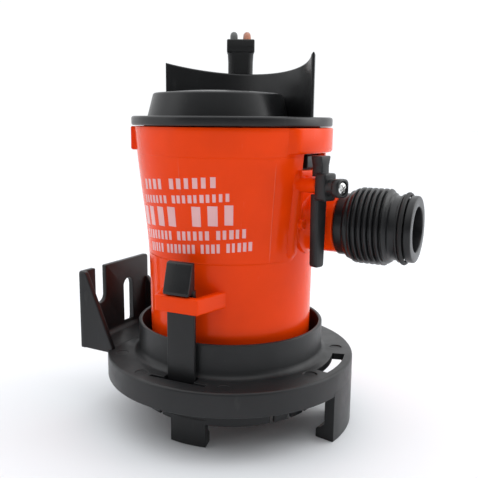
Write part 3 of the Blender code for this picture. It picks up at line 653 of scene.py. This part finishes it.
def bracket_parts():
    """The upright plate with two slots, its shelf and two gussets, built facing +X and then turned."""
    outer, inner = 47.6, 45.6
    near, far = 26.8, -11.5
    low, high = 22.4, 51.0
    slot_r, open_at, open_low = 2.85, 17.15, 40.05
    closed_at, closed_low, closed_high = 1.3, 27.45, 40.75
    outline = [(far, low), (near, low), (near, high), (open_at + slot_r, high), (open_at + slot_r, open_low)]
    outline += arc_points((open_at, open_low), slot_r, range(-15, -180, -15))
    outline += [(open_at - slot_r, open_low), (open_at - slot_r, high), (far, high)]
    radii = [0.5, 0.5, 1.0, 0.6] + [0.0] * 13 + [0.6, 1.2]
    plate = slab(outline, inner, outer, 0.35, radii)
    placed(plate, FACING_X)
    hole = arc_points((closed_at, closed_high), slot_r, range(0, 181, 15))
    hole += arc_points((closed_at, closed_low), slot_r, range(181, 361, 15))
    cut(plate, placed(slab(hole, inner - 2.0, outer + 2.0, 0.0), FACING_X))
    shelf = slab(((34.5, far + 0.2), (outer - 0.5, far + 0.2), (outer - 0.5, near - 0.2), (34.5, near - 0.2)),
                 low + 0.2, DISC_TOP + 0.12, 0.1, 0.3)
    tall = ((33.0, low + 0.2), (outer - 0.4, low + 0.2), (outer - 0.4, high - 0.1), (outer - 3.0, high - 0.1),
            (33.0, DISC_TOP + 0.6))
    tall = placed(slab(tall, -near + 0.02, -near + 1.9, 0.35, (0.0, 0.0, 0.0, 1.2, 1.0)), UPRIGHT)
    short = ((34.0, low + 0.2), (outer - 0.4, low + 0.2), (outer - 0.4, 42.0), (inner - 0.8, 42.0),
             (34.0, DISC_TOP + 0.4))
    short = placed(slab(short, -far - 1.9, -far - 0.02, 0.35, (0.0, 0.0, 0.0, 1.0, 1.0)), UPRIGHT)
    cove = cove_bar(inner + 0.2, DISC_TOP - 0.1, 3.0, far + 1.0, near - 1.0)
    parts = (plate, shelf, tall, short, cove)
    for part in parts:
        placed(part, turn(BRACKET_AT))
    return parts


def cove_bar(x, z, radius, low, high):
    """A concave fillet along Y in the corner between an upright wall at x and a floor at z."""
    outline = [(x + 0.4, z - 0.4), (x + 0.4, z + radius)]
    outline += arc_points((x - radius, z + radius), radius, range(0, -91, -15))
    outline.append((x - radius, z - 0.4))
    return placed(slab(outline, -high, -low, 0.0), UPRIGHT)


# ---------------------------------------------------------------- snap latches
def make_latch(name, piece, body, at):
    """A cantilever strap that stands in the base's slot and hooks over the housing's loop."""
    strap = slab(((34.2, -4.9), (35.8, -4.9), (35.8, 4.9), (34.2, 4.9)), 19.8, 53.0, 0.3, 0.35)
    side = ((34.3, 51.6), (38.8, 51.6), (38.8, 52.6), (36.2, 61.6), (34.3, 61.6))
    wedge = placed(slab(side, -4.5, 4.5, 0.4, (0.0, 0.45, 0.6, 0.9, 0.4)), UPRIGHT)
    foot = slab(((34.5, -8.0), (37.6, -8.0), (37.6, 8.0), (34.5, 8.0)), 19.5, 21.0, 0.2, 0.3)
    joined(strap, wedge, foot)
    placed(strap, turn(at))
    finished(strap, piece, body, "black", [name])


# ---------------------------------------------------------------- housing
def hood(start):
    """A bayonet hood: a band proud of the rim whose leading end grows smoothly out of the wall."""
    low, high, root, out = 94.5, 102.4, 31.0, 34.5
    sweep, run_in, sunk, steps = 65.0, 7.0, 0.25, 40
    section = eased(((root, low), (out, low), (out, high), (root, high)), (0.0, 0.7, 0.5, 0.0), 4)
    rings = []
    for i in range(steps + 1):
        along = sweep * i / steps
        grown = smooth(along / run_in)
        ring = []
        for p in section:
            wall = wall_radius(p.y) - sunk
            ring.append(polar(p.x if p.x <= wall else wall + (p.x - wall) * grown, start + along, p.y))
        rings.append(ring)
    return build(rings)


def loop(at):
    """A flat bar held off the wall by two arms, for the base's latch to pass through."""
    outline = ((25.4, -11.4), (36.4, -8.2), (38.6, -7.6), (38.6, 7.6), (36.4, 8.2), (25.4, 11.4), (25.4, 8.8),
               (36.2, 5.8), (36.2, -5.8), (25.4, -8.8))
    radii = (0, 2.0, 0.9, 0.9, 2.0, 0, 0, 0.6, 0.6, 0)
    low, high = 46.0, 51.2
    return placed(slab(outline, low, high, 0.5, radii), turn(at))


def swell(radius, low, high, at, inner, rise):
    """An upright rounded rib on the wall, running out smoothly at both ends."""
    rings = []
    steps, arc_steps, run_out, widened = 36, 24, 0.09, 1.1
    for i in range(steps + 1):
        t = i / steps
        z = low + (high - low) * t
        proud = rise * smooth(min(t, 1 - t) / run_out)
        middle = wall_radius(z) + proud - radius
        ring = []
        for k in range(arc_steps + 1):
            a = math.radians(-90.0 + 180.0 * k / arc_steps)
            ring.append((middle + radius * math.cos(a), radius * widened * math.sin(a)))
        ring += [(inner, radius * widened), (inner, -radius * widened)]
        rings.append([turn(at) @ Vector((x, y, z)) for x, y in ring])
    return build(rings)


def flared(radius, start, end, height, at, flare):
    """A round stub that points outwards at a height and blends into the wall at its root."""
    wall = wall_radius(height) - 0.15
    steps, ease = 8, 0.3
    points = [(0.0, start), (radius + flare, start), (radius + flare, wall)]
    for k in range(1, steps + 1):
        a = math.radians(90.0 * k / steps)
        points.append((radius + flare * (1 - math.sin(a)), wall + flare * (1 - math.cos(a))))
    points += [(radius, end - ease), (radius - ease, end), (0.0, end)]
    return placed(revolved(points, 56), outwards(at, height))


def make_housing():
    """The orange shell: wall, volute, hoods, loops, the outlet's stub, and the lever's boss and stop."""
    floor, eye, steps = 26.7, 9.0, 44
    heights = [WALL_BOTTOM + (WALL_TOP - WALL_BOTTOM) * i / steps for i in range(steps + 1)]
    outer = [(wall_radius(z), z) for z in heights[1:-1]]
    rim = [(RIM_R - 0.03, WALL_TOP - 0.3), (RIM_R - 0.12, WALL_TOP - 0.02), (RIM_R - 0.4, WALL_TOP)]
    inner = [(wall_radius(z) - WALL, z) for z in reversed(heights[2:])]
    foot = [(26.0, floor), (eye, floor), (eye, WALL_BOTTOM), (27.6, WALL_BOTTOM), (28.1, WALL_BOTTOM + 0.3)]
    housing = revolved(outer + rim + inner + foot, 144)
    volute = ((20.0, floor - 0.5), (21.6, floor - 0.5), (21.6, 38.0), (20.0, 38.0))
    parts = [revolved(volute, 60, 25.0, 300.0)]
    parts += [hood(-51.5), hood(128.5), loop(LATCH_AT), loop(LATCH_AT + 180.0)]
    stub_r, stub_end, tube_r, tube_end = 9.4, 40.4, 8.3, 43.6
    parts.append(flared(stub_r, 26.9, stub_end, PORT_Z, PORT_AT, 1.4))
    parts.append(placed(rod(tube_r, 30.0, tube_end), outwards(PORT_AT, PORT_Z)))
    boss_r, boss_end, stop_r, stop_end, stop_z = 2.35, 39.7, 1.5, 33.2, 72.2
    parts.append(flared(boss_r, 29.6, boss_end, LEVER_Z, LEVER_AT, 0.7))
    parts.append(flared(stop_r, 28.2, stop_end, stop_z, LEVER_AT + 2.0, 0.6))
    parts.append(swell(1.9, 60.2, 89.0, -39.5, 28.4, 1.55))
    ledge = eased(((30.2, 87.0), (33.3, 87.0), (33.3, 89.4), (30.2, 89.4)), (0.0, 0.8, 0.5, 0.0), 4)
    parts.append(revolved(ledge, 20, -40.5, 25.0))
    joined(housing, *parts)
    window = ((25.0, 89.4), (36.0, 89.4), (36.0, 94.4), (25.0, 94.4))
    channel = ((25.0, 90.4), (33.4, 90.4), (33.4, 104.0), (25.0, 104.0))
    cutters = []
    for lug in LUGS_AT:
        cutters.append(revolved(window, 24, lug - 2.0, 28.0))
        cutters.append(revolved(channel, 14, lug + 12.0, 14.5))
    cutters.append(placed(rod(BORE_R, 20.0, 45.0), outwards(PORT_AT, PORT_Z)))
    cutters.append(placed(rod(1.4, 29.5, 41.0, 24), outwards(LEVER_AT, LEVER_Z)))
    cut(housing, *cutters)
    finished(housing, "housing_shell", "body", "orange", ["housing"], 32.0)


def make_label():
    """Rows of plain blocks, wide and narrow, where the real housing carries its print."""
    rng = random.Random(7)
    # Each row's bottom, height, first and last angle, and how many blocks each of its groups has
    rows = ((83.7, 3.3, -145.0, -88.0, (4, 6)), (79.2, 2.5, -148.0, -81.0, (7, 10)),
            (71.8, 6.3, -153.0, -75.5, (4, 3)), (67.3, 2.9, -151.0, -71.0, (8, 6, 5)),
            (63.0, 2.9, -146.0, -67.5, (5, 7, 4, 5)))
    gap = 0.8
    blocks = []
    for bottom, height, start, end, words in rows:
        pitch = (end - start) / (sum(words) + gap * (len(words) - 1))
        angle = start
        for word in words:
            for _ in range(word):
                blocks.append(block(angle, pitch * rng.uniform(0.5, 0.68), bottom, height))
                angle += pitch
            angle += pitch * gap
    finished(merged(*blocks), "label_marks", "body", "print")


def block(angle, width, bottom, height):
    """One thin raised mark that follows the housing's wall. The rows climb slightly to the right."""
    sunk, proud = 0.15, 0.05
    bottom += 0.04 * (angle + 110.0)
    shares = (0.0, 0.25, 0.5, 0.75)
    edge = [(angle + width * t, bottom) for t in shares]
    edge += [(angle + width, bottom + height * t) for t in shares]
    edge += [(angle + width * (1.0 - t), bottom + height) for t in shares]
    edge += [(angle, bottom + height * (1.0 - t)) for t in shares]
    return build([[polar(wall_radius(z) + depth, a, z) for a, z in edge] for depth in (-sunk, proud)])


# ---------------------------------------------------------------- discharge port
def thread_height(angle, along):
    """How far a right-hand pipe thread stands above its root, 0 to 1, with run-outs at both ends."""
    phase = ((along - THREAD_START) / THREAD_PITCH - angle / 360.0) % 1.0
    ridge = 1.0 - abs(2.0 * phase - 1.0)
    shaped = smooth((ridge - 0.16) / 0.5)
    run_in = smooth((along - THREAD_START + 0.4) / 3.2)
    run_out = smooth((THREAD_END + 0.6 - along) / 1.6)
    return shaped * run_in * run_out


def make_port():
    """A hollow spigot: collar, real helical thread, plain neck, O-ring groove and tip."""
    socket, root, crest, collar, neck, groove, tip = 8.6, 10.9, 12.1, 9.9, 10.1, 9.4, 10.4
    back, shoulder, end = 40.7, 45.0, 64.9
    before = ((socket, shoulder), (socket, back), (collar, back), (collar, 43.5), (root, 44.2), (root, 44.3))
    before = eased(before, (0.2, 0.3, 0.4, 0.4, 0.0, 0.0), 4)
    threaded = [Vector((root, THREAD_START + 0.12 * i)) for i in range(110)]
    after = ((root, 57.6), (neck, 58.1), (neck, 60.0), (10.7, 60.1), (10.7, 60.8), (groove, 60.8),
             (groove, 62.7), (tip, 62.7), (tip, end), (BORE_R, end), (BORE_R, shoulder))
    after = eased(after, (0.0, 0.5, 0.1, 0.15, 0.15, 0.2, 0.2, 0.25, 0.5, 0.3, 0.1), 4)
    outline = before + threaded + after
    steps = 120
    first, last = len(before), len(before) + len(threaded)
    rings = []
    for i in range(steps):
        angle = 360.0 * i / steps
        ring = []
        for j, p in enumerate(outline):
            grown = (crest - root) * thread_height(angle, p.y) if first <= j < last else 0.0
            ring.append(polar(p.x + grown, angle, p.y))
        rings.append(ring)
    port = placed(build(rings, closed=True), outwards(PORT_AT, PORT_Z))
    finished(port, "threaded_port", "body", "black", ["discharge_port"], 50.0)
    seal = arc_points((10.65, 61.75), 0.72, range(0, 360, 20))
    ring = placed(revolved(seal, 96), outwards(PORT_AT, PORT_Z))
    finished(ring, "tip_o_ring", "body", "rubber", ["port_o_ring"])


# ---------------------------------------------------------------- lock lever
def make_lever():
    """A see-saw lever on the radial boss: a flared tab above the pin, a finger arm below, a capped hub."""
    hub = ((-2.7, -4.2), (2.7, -4.2), (2.7, 4.2), (-2.7, 4.2))
    tab = ((-1.7, 3.0), (1.7, 3.0), (1.7, 6.4), (2.4, 9.3), (-2.4, 9.3), (-1.7, 6.4))
    arm = ((-2.2, -2.4), (-1.9, -25.2), (1.9, -25.2), (2.5, -2.4))
    pad = ((-2.8, -2.8), (2.8, -2.8), (2.8, 2.8), (-2.8, 2.8))
    lever = slab(hub, 40.0, 44.0, 0.4, 0.9)
    tab = slab(tab, 38.0, 42.0, 0.35, (0, 0, 0.8, 0.4, 0.4, 0.8))
    arm = slab(arm, 38.0, 40.9, 0.45, (0, 1.0, 1.0, 0))
    pad = slab(pad, 46.3, 48.8, 0.45, 1.7)
    neck = rod(2.5, 43.5, 47.0, 40)
    bore = ((0, 38.0), (1.4, 38.0), (1.4, 47.6), (2.15, 47.6), (2.15, 48.5), (2.3, 50.0), (0, 50.0))
    bore = revolved(bore, 40)
    joined(lever, tab, arm, neck, pad)
    cut(lever, bore)
    stand = outwards(LEVER_AT, LEVER_Z)
    placed(lever, stand)
    finished(lever, "lever_body", "lever", "black", ["lock_lever"])
    profile = eased(((0, 33.0), (1.1, 33.5), (1.1, 47.9), (1.85, 47.9), (1.85, 48.6), (0, 48.95)),
                    (0, 0.1, 0.05, 0.1, 0.35, 0), 4)
    screw = revolved(profile, 40)
    groove = ((-1.25, -0.28), (1.25, -0.28), (1.25, 0.28), (-1.25, 0.28))
    arms = [placed(slab(groove, 48.15, 50.0, 0.0), turn(a)) for a in (30.0, 120.0)]
    cut(screw, *arms)
    placed(screw, stand)
    finished(screw, "cross_head_screw", "body", "steel", ["lever_screw"])


# ---------------------------------------------------------------- cartridge
def blade():
    """The curved grip: an upright sheet on an arc, its rounded top edge lower in the middle."""
    half_chord, sag, thick = 33.1, 16.6, 1.3
    bend = (half_chord ** 2 + sag ** 2) / (2 * sag)
    half_angle = math.degrees(math.asin(half_chord / bend))
    centre = polar(sag - bend, BLADE_AT)
    half, bottom = thick / 2, FLANGE_TOP - 1.2
    rings = []
    steps = 64
    for i in range(steps + 1):
        along = 2.0 * i / steps - 1.0
        top = 121.0 + 4.4 * along ** 2
        section = ((-half, bottom), (half, bottom), (half, top), (-half, top))
        section = eased(section, (0.0, 0.0, 0.62, 0.62), 5)
        narrowed = 0.55 + 0.45 * smooth((1.0 - abs(along)) / 0.012)
        at = BLADE_AT + half_angle * along
        rings.append([centre + polar(bend + p.x * narrowed, at, p.y) for p in section])
    return build(rings)


def make_cap():
    """The cartridge's black cap: flange and skirt, off-centre cone, grip and two bayonet lugs."""
    inside, skirt, seat, groove, flange = 27.2, 29.0, 30.0, 28.4, 34.24
    side = ((0.0, FLANGE_BOTTOM), (inside, FLANGE_BOTTOM), (inside, 88.2), (skirt, 88.2), (skirt, 95.2),
            (seat, 96.0), (seat, 97.4), (groove, 97.4), (groove, 100.2), (seat, 100.2), (seat, FLANGE_BOTTOM),
            (flange, FLANGE_BOTTOM), (flange, FLANGE_TOP), (0.0, FLANGE_TOP))
    radii = (0, 0.3, 0.4, 0.4, 0.3, 0.3, 0.2, 0.2, 0.2, 0.2, 0.3, 0.6, 0.85, 0)
    cap = revolved(eased(side, radii, 5), 160)
    cone_r, off_centre = 23.4, -7.15
    cone = ((0.0, FLANGE_TOP - 1.0), (cone_r, FLANGE_TOP - 1.0), (cone_r, FLANGE_TOP), (21.45, 113.2),
            (12.0, 114.0), (0.0, 114.3))
    cone = revolved(eased(cone, (0, 0, 0.3, 0.9, 4.0, 0), 6), 128)
    hollow = rod(18.5, 90.0, 111.4, 64)
    for part in (cone, hollow):
        placed(part, Matrix.Translation(polar(off_centre, BLADE_AT)))
    lug = eased(((28.0, 89.9), (33.0, 89.9), (33.0, 94.0), (28.0, 94.0)), (0, 0.5, 0.5, 0), 3)
    parts = [cone, blade()]
    parts += [revolved(lug, 10, start, 10.5) for start in LUGS_AT]
    joined(cap, *parts)
    hole = slab(((-5.0, -3.9), (5.0, -3.9), (5.0, 3.9), (-5.0, 3.9)), 100.0, 108.0, 0.0, 3.0)
    placed(hole, turn(BEHIND - 90.0) @ shift(GROMMET_SIDE, GROMMET_BACK, 0))
    cut(cap, hollow, hole)
    finished(cap, "cap_and_grip", "cartridge", "black", ["cartridge_cap"])


def make_grommet():
    """Strain relief: a tapering neck, a lip and a square head whose sloping back face lets the leads out."""
    rings = []
    # Height, width, depth and corner radius
    levels = ((101.0, 9.3, 7.1, 2.6), (107.4, 9.4, 7.2, 2.6), (108.2, 10.6, 8.4, 2.9),
              (109.2, 10.9, 8.7, 3.0), (110.4, 10.2, 8.0, 2.8), (113.0, 9.5, 7.3, 2.6),
              (118.0, 9.1, 7.0, 2.4), (126.0, 9.2, 7.1, 2.4), (129.0, 9.6, 7.3, 2.4), (129.4, 9.8, 7.4, 2.2))
    for z, width, depth, corner in levels:
        x, y = width / 2, depth / 2
        rings.append([Vector((p.x, p.y, z)) for p in eased(((-x, -y), (x, -y), (x, y), (-x, y)), corner, 6)])
    neck = placed(build(rings), turn(BEHIND - 90.0) @ shift(GROMMET_SIDE, GROMMET_BACK, 0))
    side = ((-3.8, 129.1), (3.8, 129.1), (3.8, 130.2), (-1.6, 134.0), (-3.3, 134.0), (-3.8, 131.4))
    head = placed(slab(side, -5.1, 5.1, 0.5, (0.6, 0.6, 0.0, 0.6, 0.6, 0.6)), UPRIGHT)
    placed(head, turn(BEHIND) @ shift(GROMMET_BACK, -GROMMET_SIDE, 0))
    joined(neck, head)
    finished(neck, "strain_relief", "cartridge", "soft_rubber", ["wire_grommet"])


# ---------------------------------------------------------------- hidden CAD parts
def dress_hidden_parts():
    """Gives each CAD node that no piece here replaces the look of its own material."""
    dressed = {
        "rubber": ("cap_o_ring", "port_gasket", "shaft_seal"),
        "black": ("cartridge_sleeve",),
        "can": ("motor_can",),
        "white": ("motor_end_cap", "impeller"),
        "steel": ("motor_shaft", "impeller_clip"),
        "laminations": ("armature_core",),
        "windings": ("armature_windings",),
        "copper": ("commutator",),
        "brass": ("lower_bearing", "upper_bearing", "brush_spring_left", "brush_spring_right",
                  "terminal_left", "terminal_right"),
        "ferrite": ("magnet_left", "magnet_right"),
        "carbon": ("brush_left", "brush_right"),
    }
    for look, nodes in dressed.items():
        for node in nodes:
            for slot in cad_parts[node].material_slots:
                slot.material = LOOKS[look]


# ---------------------------------------------------------------- stage and light
def add_floor():
    """A plain pale floor that reaches past every view."""
    size = 8.0
    bm = bmesh.new()
    bm.faces.new([bm.verts.new((x * size, y * size, 0.0)) for x, y in ((-1, -1), (1, -1), (1, 1), (-1, 1))])
    mesh = bpy.data.meshes.new("floor")
    bm.to_mesh(mesh)
    bm.free()
    floor = bpy.data.objects.new("floor", mesh)
    scene.collection.objects.link(floor)
    tree = Tree("pale_floor")
    drift = tree.noise(3.0, 3.0)
    tree.put(tree.shader.inputs["Base Color"], tree.mix(drift, (0.80, 0.81, 0.83), (0.82, 0.83, 0.85)))
    tree.put(tree.shader.inputs["Roughness"], tree.span(drift, 0.3, 0.7, 0.6, 0.7))
    tree.put(tree.shader.inputs["Normal"], tree.bump(tree.noise(400.0), 0.0002, 0.1))
    mesh.materials.append(tree.material)


def add_light(name, place, size, power):
    """A soft window facing the pump's middle, placed in metres before the port is turned to +X."""
    target = Vector((0.0, 0.0, 0.06))
    data = bpy.data.lights.new(name, "AREA")
    data.shape = "RECTANGLE"
    data.size, data.size_y = size
    data.energy = power
    light = bpy.data.objects.new(name, data)
    place = turn(-PORT_AT) @ Vector(place)
    light.location = place
    light.rotation_mode = "QUATERNION"
    light.rotation_quaternion = (target - place).to_track_quat("-Z", "Y")
    scene.collection.objects.link(light)


def add_world():
    """A white room that is dimmer towards the front, as a photographer's side is, and brightest overhead."""
    # A direction's component, lowest and highest, and the brightness at each
    backwards = (-0.85, 0.0, 0.12, 1.05)
    upwards = (0.25, 0.95, 0.0, 0.75)
    world = bpy.data.worlds.new("studio")
    world.use_nodes = True
    nodes, links = world.node_tree.nodes, world.node_tree.links
    background = nodes["Background"]
    parts = nodes.new("ShaderNodeSeparateXYZ")
    direction = nodes.new("ShaderNodeTexCoord").outputs["Generated"]
    links.new(direction, parts.inputs[0])
    depth = nodes.new("ShaderNodeVectorMath")
    depth.operation = "DOT_PRODUCT"
    links.new(direction, depth.inputs[0])
    depth.inputs[1].default_value = turn(-PORT_AT) @ Vector((0.0, 1.0, 0.0))

    def span(socket, numbers):
        node = nodes.new("ShaderNodeMapRange")
        node.interpolation_type = "SMOOTHSTEP"
        links.new(socket, node.inputs[0])
        for key, number in zip(("From Min", "From Max", "To Min", "To Max"), numbers):
            node.inputs[key].default_value = number
        return node.outputs[0]

    both = nodes.new("ShaderNodeMath")
    both.operation = "ADD"
    links.new(span(depth.outputs["Value"], backwards), both.inputs[0])
    links.new(span(parts.outputs[2], upwards), both.inputs[1])
    background.inputs["Color"].default_value = (0.97, 0.985, 1.0, 1.0)
    links.new(both.outputs[0], background.inputs["Strength"])
    scene.world = world


def add_lights():
    """A large window on the port's side and a narrow one opposite it."""
    add_light("window_right", (0.85, 0.25, 0.45), (0.6, 0.8), 3.0)
    add_light("window_left", (-0.8, -0.3, 0.4), (0.35, 0.9), 0.6)
    scene.view_settings.view_transform = "Standard"


# ---------------------------------------------------------------- assembly
add_camera()
LOOKS = make_looks()
make_lead("wire_black", GROMMET_SIDE - 2.5, COIL_R - COIL_SIDE, -COIL_SIDE, "black_lead")
make_lead("wire_brown", GROMMET_SIDE + 2.5, COIL_SIDE - COIL_R, COIL_SIDE, "brown_lead")
make_base()
make_latch("latch_front", "front_snap_latch", "front_latch", LATCH_AT)
make_latch("latch_rear", "rear_snap_latch", "rear_latch", LATCH_AT + 180.0)
make_housing()
make_label()
make_port()
make_lever()
make_cap()
make_grommet()
dress_hidden_parts()
add_floor()
add_world()
add_lights()
